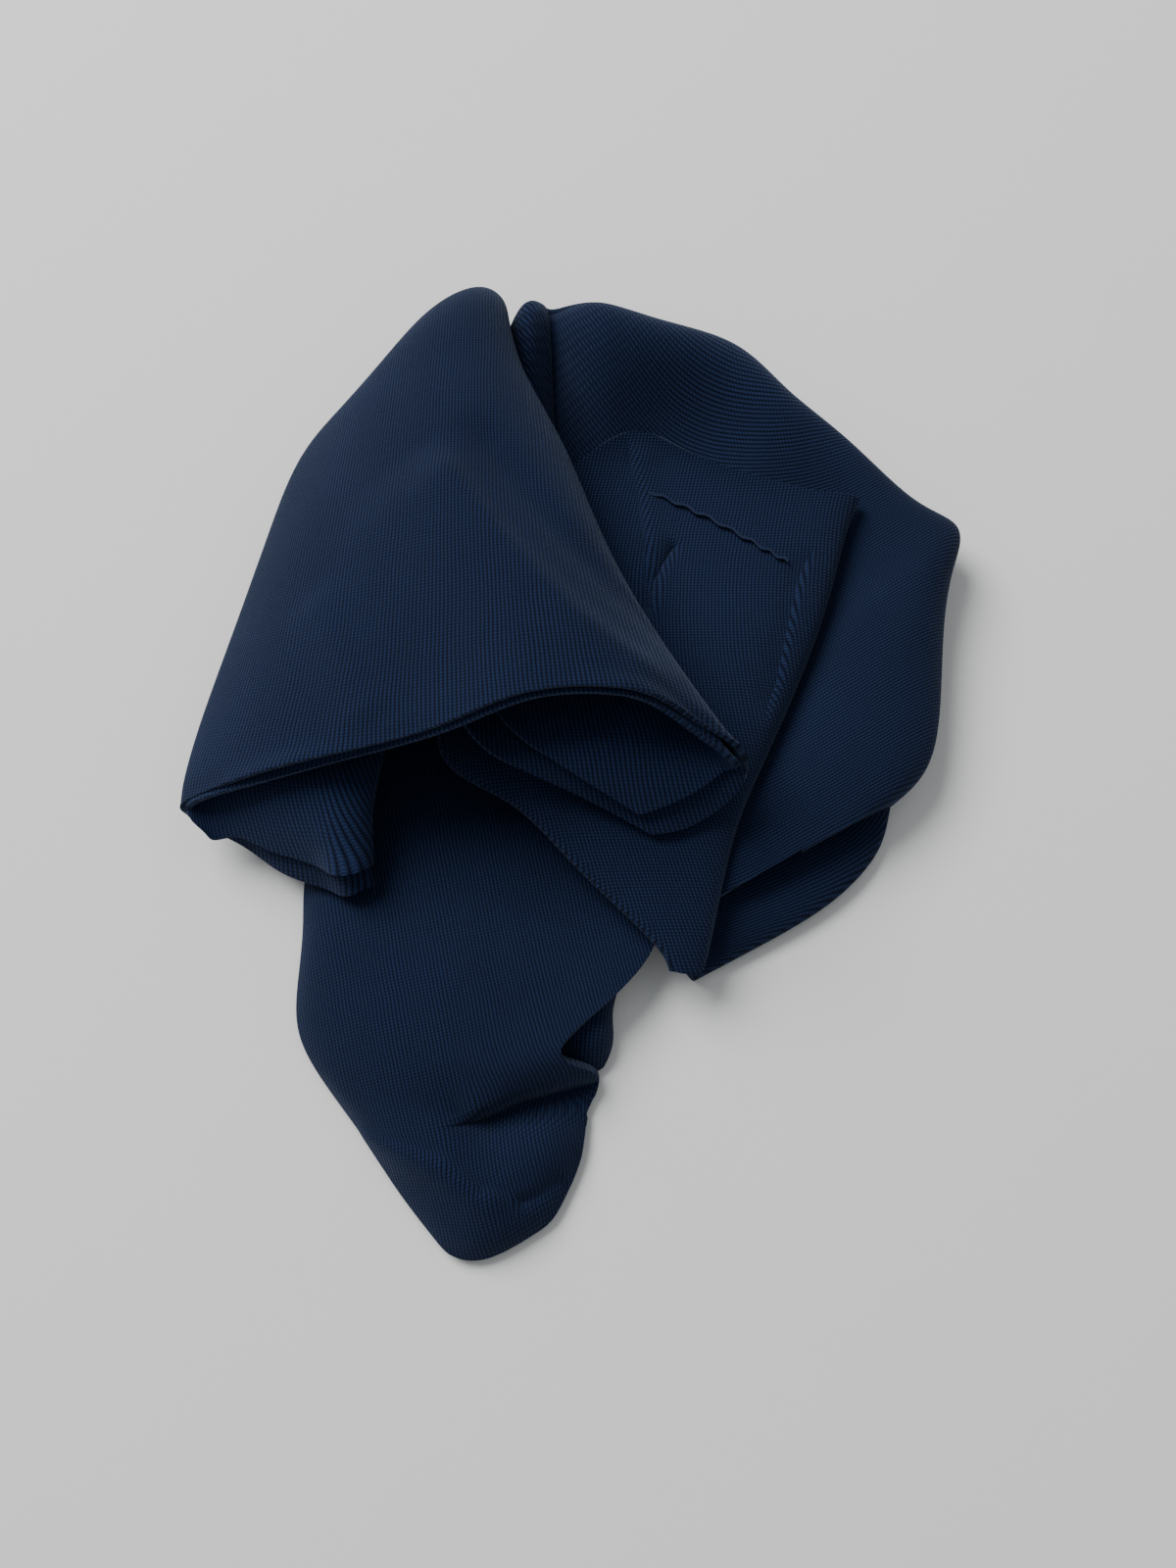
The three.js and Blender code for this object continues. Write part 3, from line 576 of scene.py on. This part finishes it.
class Leaf:
    """A surface through rows of points, sampled on a grid"""

    def __init__(self, rows, along, across, u=(0, 1), v=(0, 1)):
        points = np.array(rows, float) - HEAP_MIDDLE
        down = spline_weights(points.shape[0], along, *u)
        over = spline_weights(points.shape[1], across, *v)
        self.points = np.einsum("ar,rck,bc->abk", down, points, over)
        self.u = np.linspace(*u, along + 1)[:, None] * np.ones((1, across + 1))
        self.v = np.ones((along + 1, 1)) * np.linspace(*v, across + 1)[None, :]
        self.smooth = self.points.copy()

    def started(self, start):
        """Let each column begin at its own place along the leaf"""
        low, high = self.u[0, 0], self.u[-1, 0]
        share = (self.u[:, 0] - low) / (high - low)
        for j in range(self.points.shape[1]):
            begin = start(self.v[0, j])
            places = begin + (high - begin) * share
            for k in range(3):
                self.points[:, j, k] = np.interp(places, self.u[:, 0], self.points[:, j, k])
        self.smooth = self.points.copy()
        return self

    def lipped(self, height, turns, phase, reach=0.03):
        """Small waves along the cut edge of the mouth"""
        wave = np.sin(self.v * turns + phase) + 0.6 * np.sin(self.v * turns * 1.7 + phase * 2)
        fall = np.exp(-((self.u - self.u[0, 0]) / reach) ** 2)
        self.points = self.points + self.normals() * (height * wave * fall)[..., None]
        return self

    def normals(self):
        """Unit normals of the surface as it is now"""
        down = np.gradient(self.points, axis=0)
        over = np.gradient(self.points, axis=1)
        normal = np.cross(over, down)
        return normal / np.maximum(np.linalg.norm(normal, axis=2, keepdims=True), 1e-9)

    def shaped(self, offsets):
        """Raise the upper side of the cloth by the sum of some crests"""
        x = self.points[..., 0] + HEAP_MIDDLE[0]
        y = self.points[..., 1] + HEAP_MIDDLE[1]
        facing = np.abs(self.normals()[..., 2])
        total = sum(offset(x, y) for offset in offsets)
        self.points[..., 2] += total * smoothstep(0.15, 0.6, facing)
        return self

    def shifted(self, distance):
        """Move the surface along its normals"""
        self.points = self.points + self.normals() * distance
        return self

    def floored(self, thickness):
        """Keep the cloth's underside off the table"""
        low = thickness / 2 + TABLE_CLEARANCE
        self.points[..., 2] = np.maximum(self.points[..., 2], low)
        return self

    def run(self):
        """True length across the leaf, from its first column to each one"""
        steps = np.linalg.norm(np.diff(self.smooth, axis=1), axis=2)
        return np.concatenate([np.zeros((len(steps), 1)), np.cumsum(steps, axis=1)], axis=1)

    def heading(self, near, far):
        """Direction of each row, seen from above, between two columns"""
        heading = self.smooth[:, far, :2] - self.smooth[:, near, :2]
        return heading / np.linalg.norm(heading, axis=1, keepdims=True)

    def unrolled(self):
        """Flat coordinates: true length across, laid out from the middle column"""
        middle = self.smooth.shape[1] // 2
        run = self.run() - self.run()[:, middle : middle + 1]
        base = self.smooth[:, middle, :2]
        heading = self.heading(middle - MIDDLE_REACH, middle + MIDDLE_REACH)
        return base[:, None, :] + heading[:, None, :] * run[..., None]

    def plan(self, rim):
        """Seen from above up to a column, and true length beyond it"""
        run = self.run()
        column = int(round(rim * (self.smooth.shape[1] - 1)))
        heading = self.heading(column - RIM_REACH, column)
        beyond = np.maximum(run - run[:, column : column + 1], 0)
        flat = self.smooth[..., :2].copy()
        flat[:, column:] = self.smooth[:, column : column + 1, :2]
        return flat + heading[:, None, :] * beyond[..., None]


def straight_wales(degrees):
    """Wales that all run one way; degrees are counted from +X towards +Y"""
    c, s = math.cos(math.radians(degrees)), math.sin(math.radians(degrees))

    def place(leaf):
        flat = leaf.unrolled()
        x, y = flat[..., 0], flat[..., 1]
        return np.stack([x * s - y * c, x * c + y * s], axis=-1)

    return place


def make_piece(name, leaf, wales, thickness, material):
    """Turn a sampled surface into a cloth piece with rounded edges"""
    along, across = leaf.points.shape[0] - 1, leaf.points.shape[1] - 1
    leaf.floored(thickness)
    knit = wales(leaf) * MM / UV_UNIT
    mesh = bpy.data.meshes.new(name)
    bm = bmesh.new()
    bmesh.ops.create_grid(bm, x_segments=across, y_segments=along, size=1.0)
    uv = bm.loops.layers.uv.new("Knit")
    places = {}
    for vertex in bm.verts:
        i = int(round((vertex.co.y + 1) / 2 * along))
        j = int(round((vertex.co.x + 1) / 2 * across))
        vertex.co = leaf.points[i, j] * MM
        places[vertex] = (i, j)
    for face in bm.faces:
        face.smooth = True
        for loop in face.loops:
            loop[uv].uv = knit[places[loop.vert]]
    bm.to_mesh(mesh)
    bm.free()
    piece = bpy.data.objects.new(name, mesh)
    bpy.context.scene.collection.objects.link(piece)
    mesh.materials.append(material)
    shell = piece.modifiers.new("thickness", "SOLIDIFY")
    shell.thickness = thickness * MM
    shell.offset = 0
    shell.use_even_offset = False
    edge = piece.modifiers.new("rounded_edges", "BEVEL")
    edge.limit_method = "ANGLE"
    edge.angle_limit = math.radians(65)
    edge.width = thickness * EDGE_ROUNDING * MM
    edge.segments = 3
    edge.use_clamp_overlap = True
    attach(piece, BODY)
    return piece


# ---- the knit's own layout on each leaf ---------------------------------

# Steps of each leaf's grid, along it and across it.
SLEEVE_GRID = (150, 300)
INNER_GRID = (130, 280)
BAND_GRID = (240, 170)
HEM_GRID = (60, 90)
BACK_GRID = (260, 180)
UNDER_GRID = (120, 110)
TAIL_GRID = (260, 130)
TAIL_SIDE_GRID = (60, 50)

INNER_LIP = -0.012  # how far the inner ply shows beyond the outer one, as a share
LIP_WAVE = 0.6  # height of the waves along the mouth's edge, mm
PLY_GAP = 0.75  # air between the two plies of the sleeve, mm
HEM = 0.9  # thickness of the turned hem, mm
HEM_GAP = 0.3  # air between the hem and the band, mm

WALE_LEAN = 0.3  # the bend of the back leaf's wales leans over with height
LEAN_LEVEL = 75  # where that bend doesn't lean, mm
BACK_SQUEEZE = 0.88  # true distance between wales over the distance along Y
BACK_RIM = 0.61  # the column from which each leaf is laid out by its true length
CUFF_RIM = 0.84
SLEEVE_RIM = 0.5
BACK_SLOPES = [(-40, -1.3), (-7, -1.2), (17, -0.58), (36, -0.085), (54, 0.34), (62, 0.7)]
CUFF_SLOPES = [(-45, -0.36), (-12, -0.32), (22, -0.06), (50, 0.22), (70, 0.25)]
SLEEVE_FAN = 0.006  # change in the slope of the sleeve's wales, per mm across
FAN_MIDDLE = (-27, 30)  # where the fan leaves the wales as they are, mm


def risen(places, slopes):
    """Height of a curve whose slope is given at a few places"""
    reach = np.linspace(-100, 180, 561)
    rise = np.cumsum(np.interp(reach, *zip(*slopes))) * (reach[1] - reach[0])
    return np.interp(places, reach, rise)


def heap_plan(leaf, rim):
    """X and Y of a leaf's plan, in the same place as its rows"""
    flat = leaf.plan(rim)
    return flat[..., 0] + HEAP_MIDDLE[0], flat[..., 1] + HEAP_MIDDLE[1]


def curved_wales(leaf):
    """Wales that fall, level out and rise again from left to right"""
    x, y = heap_plan(leaf, BACK_RIM)
    across = (y - risen(x - WALE_LEAN * (y - LEAN_LEVEL), BACK_SLOPES)) * BACK_SQUEEZE
    return np.stack([across, 0.95 * x + 0.2 * y], axis=-1)


def cuff_wales(leaf):
    """Wales that lean over towards the lower turn of the band"""
    x, y = heap_plan(leaf, CUFF_RIM)
    return np.stack([x - risen(y, CUFF_SLOPES), y], axis=-1)


def fanned_wales(leaf):
    """Wales that run a little apart from the far turn to the mouth"""
    x, y = heap_plan(leaf, SLEEVE_RIM)
    slope = -SLEEVE_FAN * (x - FAN_MIDDLE[0])
    return np.stack([x - slope * (y - FAN_MIDDLE[1]), y], axis=-1)


# ---- pieces, one operator each ------------------------------------------

# Folds and creases: lines in millimetres, with a height and a reach on either side.
MAIN_CREST = [
    (-30, 56),
    (-24.5, 46.3),
    (-17.6, 36.2),
    (-10.4, 27.4),
    (-3.4, 19.8),
    (3.4, 14.2),
    (17, 5),
]
SLEEVE_CRESTS = [
    ridge(MAIN_CREST, 2.6, 3.2, 13),
    ridge([(x + 7, y + 7) for x, y in MAIN_CREST], -1.6, 3.5, 3.5),
    ridge([(-52, 30), (-44, 14), (-38, 2)], 0.8, 5, 5),
]


def inner_start(v):
    """The inner ply shows beyond the upper lip and steps back at both ends"""
    tongue = 0.057 * (1 - smoothstep(0.1, 0.17, v))
    flap = 0.05 * smoothstep(0.66, 0.72, v)
    return INNER_LIP + tongue + flap


STRIP_FOLDS = [step([(-8, 60), (-8.4, 73), (-9, 85), (-9.8, 97.5)], 2.6, 0.9, 0.05)]
BAND_FOLDS = [
    ridge([(44, 43.7), (40.5, 34.9), (35.8, 15.3), (32.4, 6.8)], -0.7, 0.5, 3.4),
    ridge([(8.4, 68), (11.1, 56.4), (12.2, 46.6), (12.4, 27.6)], 0.9, 3.4, 0.7),
    ridge([(17.9, 45.4), (15.2, 41), (13, 36.3), (12, 28.2)], -1.4, 0.7, 2.0),
]
TAIL_FOLDS = [
    step([(-28, -67), (-22.6, -64.6), (-13.6, -60.4), (-3.4, -57.6), (6, -55.6)], 3.4, 1.2, 0.3),
    ridge([(-46, -66), (-36, -70.5), (-26.9, -73.9), (-20.1, -79.3), (-13.4, -80.5)],
          1.3, 1.6, 3.5),
    ridge([(-14, -80.5), (-10, -79), (-5, -75)], -1.0, 1.5, 1.5),
    ridge([(-24, -64.5), (-13.6, -59.6), (-3.4, -56.6), (4, -55)], 1.4, 4, 1.2),
]


def knit():
    """The sizes and colours set for the cloth"""
    return bpy.context.scene.forearm_band_knit


def material_for(kind):
    """The rib knit of one part of the band, made once; all parts are one cloth, each with its own
    painted brightness, course marks and bump depth
    """
    name = "rib_knit_" + kind
    if name in bpy.data.materials:
        return bpy.data.materials[name]
    # Painted light: light above 1 makes the inner ply, hem and cuff lighter copies of the face knit
    looks = {
        "face": {"light": 1.0, "courses": 0.5, "depth": 1.25},
        "inside": {"light": 1.2, "courses": 0.45, "depth": 1.1},
        "cuff": {"light": 1.18, "courses": 0.7, "depth": 1.15},
    }
    return knit_material(name, knit(), **looks[kind])


class FOREARM_OT_sleeve(bpy.types.Operator):
    """The arched sleeve: two plies round the open mouth"""

    bl_idname = "forearm_band.sleeve"
    bl_label = "Sleeve"

    def execute(self, context):
        ply = knit().ply / MM
        outer = Leaf(SLEEVE_ROWS, *SLEEVE_GRID)
        outer.shaped(SLEEVE_CRESTS).lipped(LIP_WAVE, 34, 0.4)
        piece = make_piece("sleeve_outer", outer, fanned_wales, ply, material_for("face"))
        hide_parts("sleeve_outer_ply")

        inner = Leaf(SLEEVE_ROWS, *INNER_GRID, u=(INNER_LIP, 0.7), v=(0.02, 0.97))
        inner.started(inner_start).shaped(SLEEVE_CRESTS)
        inner.shifted(ply + PLY_GAP).lipped(LIP_WAVE, 27, 2.1)
        piece = make_piece("sleeve_inner", inner, fanned_wales, ply, material_for("inside"))
        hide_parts("sleeve_inner_ply")
        return {"FINISHED"}


class FOREARM_OT_cuff(bpy.types.Operator):
    """The band that ends in the finished cuff, with its hem"""

    bl_idname = "forearm_band.cuff"
    bl_label = "Cuff"

    def execute(self, context):
        cloth = knit().cloth / MM
        band = Leaf(BAND_ROWS, *BAND_GRID).shaped(BAND_FOLDS)
        piece = make_piece("cuff_band_cloth", band, cuff_wales, cloth, material_for("cuff"))
        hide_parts("cuff_band")
        hem = Leaf(BAND_ROWS, *HEM_GRID, u=(0.01, 0.155), v=(0.28, 0.66))
        hem.shifted(cloth / 2 + HEM_GAP + HEM / 2)
        piece = make_piece("cuff_hem_cloth", hem, cuff_wales, HEM, material_for("inside"))
        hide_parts("cuff_hem")
        return {"FINISHED"}


class FOREARM_OT_back(bpy.types.Operator):
    """The wide hollow leaf behind the cuff"""

    bl_idname = "forearm_band.back"
    bl_label = "Back leaf"

    def execute(self, context):
        cloth = knit().cloth / MM
        back = Leaf(BACK_ROWS, *BACK_GRID).shaped(STRIP_FOLDS)
        piece = make_piece("back_leaf_cloth", back, curved_wales, cloth, material_for("face"))
        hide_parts("back_leaf")
        under = Leaf(UNDER_ROWS, *UNDER_GRID)
        face = material_for("face")
        piece = make_piece("under_leaf_cloth", under, straight_wales(31), cloth, face)
        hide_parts("under_leaf")
        return {"FINISHED"}


class FOREARM_OT_tail(bpy.types.Operator):
    """The tail that comes out towards the front, and its second layer"""

    bl_idname = "forearm_band.tail"
    bl_label = "Tail"

    def execute(self, context):
        cloth = knit().cloth / MM
        tail = Leaf(TAIL_ROWS, *TAIL_GRID).shaped(TAIL_FOLDS)
        face = material_for("face")
        piece = make_piece("tail_leaf_cloth", tail, straight_wales(102), cloth, face)
        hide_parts("tail_leaf")
        side = Leaf(TAIL_SIDE_ROWS, *TAIL_SIDE_GRID)
        piece = make_piece("tail_side_cloth", side, straight_wales(85), cloth, face)
        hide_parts("tail_side_leaf")
        return {"FINISHED"}


class FOREARM_OT_thread(bpy.types.Operator):
    """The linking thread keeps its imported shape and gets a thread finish"""

    bl_idname = "forearm_band.thread"
    bl_label = "Linking thread"

    def execute(self, context):
        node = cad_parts["linking_thread"]
        node.data.materials.clear()
        node.data.materials.append(thread_material(knit()))
        return {"FINISHED"}


class FOREARM_OT_stage(bpy.types.Operator):
    """Pale table, soft light from the upper left, and the camera"""

    bl_idname = "forearm_band.stage"
    bl_label = "Stage"

    def execute(self, context):
        settings = context.scene.forearm_band_stage
        mesh = bpy.data.meshes.new("table")
        bm = bmesh.new()
        bmesh.ops.create_grid(bm, x_segments=1, y_segments=1, size=3.0)
        bm.to_mesh(mesh)
        bm.free()
        table = bpy.data.objects.new("table", mesh)
        bpy.context.scene.collection.objects.link(table)
        mesh.materials.append(table_material(settings))

        world = bpy.data.worlds.new("soft_room")
        world.use_nodes = True
        background = world.node_tree.nodes["Background"]
        background.inputs["Color"].default_value = ROOM_COLOUR
        background.inputs["Strength"].default_value = ROOM_STRENGTH
        bpy.context.scene.world = world
        for name, spot, size, power in LIGHTS:
            data = bpy.data.lights.new(name, "AREA")
            data.shape = "DISK"
            data.size = size
            data.energy = power
            light = bpy.data.objects.new(name, data)
            light.location = spot
            light.rotation_euler = (-Vector(spot)).to_track_quat("-Z", "Y").to_euler()
            bpy.context.scene.collection.objects.link(light)

        data = bpy.data.cameras.new("camera")
        data.lens = settings.lens
        data.sensor_width = SENSOR
        data.clip_start = 0.01
        camera = bpy.data.objects.new("camera", data)
        aim = -HEAP_MIDDLE * MM
        back = settings.distance
        camera.location = (
            aim[0],
            aim[1] - back * math.sin(settings.tilt),
            back * math.cos(settings.tilt),
        )
        camera.rotation_euler = (settings.tilt, 0, 0)
        bpy.context.scene.collection.objects.link(camera)
        bpy.context.scene.camera = camera
        return {"FINISHED"}


ROOM_COLOUR = (0.93, 0.97, 1.0, 1.0)
ROOM_STRENGTH = 0.33
SENSOR = 36  # width of the camera's sensor, mm
# Name, place in metres, size in metres and power in watts of each lamp.
LIGHTS = [
    ("window", (-0.75, 0.75, 1.1), 1.0, 29.0),
    ("fill", (0.6, 0.5, 1.3), 1.2, 1.5),
]

PIECE_OPERATORS = ["sleeve", "cuff", "back", "tail", "thread"]


class FOREARM_PT_panel(bpy.types.Panel):
    """Lists the pieces of the band in the sidebar"""

    bl_idname = "FOREARM_PT_panel"
    bl_label = "Forearm Band"
    bl_space_type = "VIEW_3D"
    bl_region_type = "UI"
    bl_category = "Forearm Band"

    def draw(self, context):
        column = self.layout.column()
        for settings in (context.scene.forearm_band_knit, context.scene.forearm_band_stage):
            for name in settings.__annotations__:
                column.prop(settings, name)
        for name in [*PIECE_OPERATORS, "stage"]:
            column.operator("forearm_band." + name)


CLASSES = [
    KnitSettings,
    StageSettings,
    FOREARM_OT_sleeve,
    FOREARM_OT_cuff,
    FOREARM_OT_back,
    FOREARM_OT_tail,
    FOREARM_OT_thread,
    FOREARM_OT_stage,
    FOREARM_PT_panel,
]


def register():
    for item in CLASSES:
        bpy.utils.register_class(item)
    bpy.types.Scene.forearm_band_knit = bpy.props.PointerProperty(type=KnitSettings)
    bpy.types.Scene.forearm_band_stage = bpy.props.PointerProperty(type=StageSettings)


def unregister():
    del bpy.types.Scene.forearm_band_stage
    del bpy.types.Scene.forearm_band_knit
    for item in reversed(CLASSES):
        bpy.utils.unregister_class(item)


def main():
    register()
    for name in [*PIECE_OPERATORS, "stage"]:
        getattr(bpy.ops.forearm_band, name)()


if __name__ == "__main__":
    main()
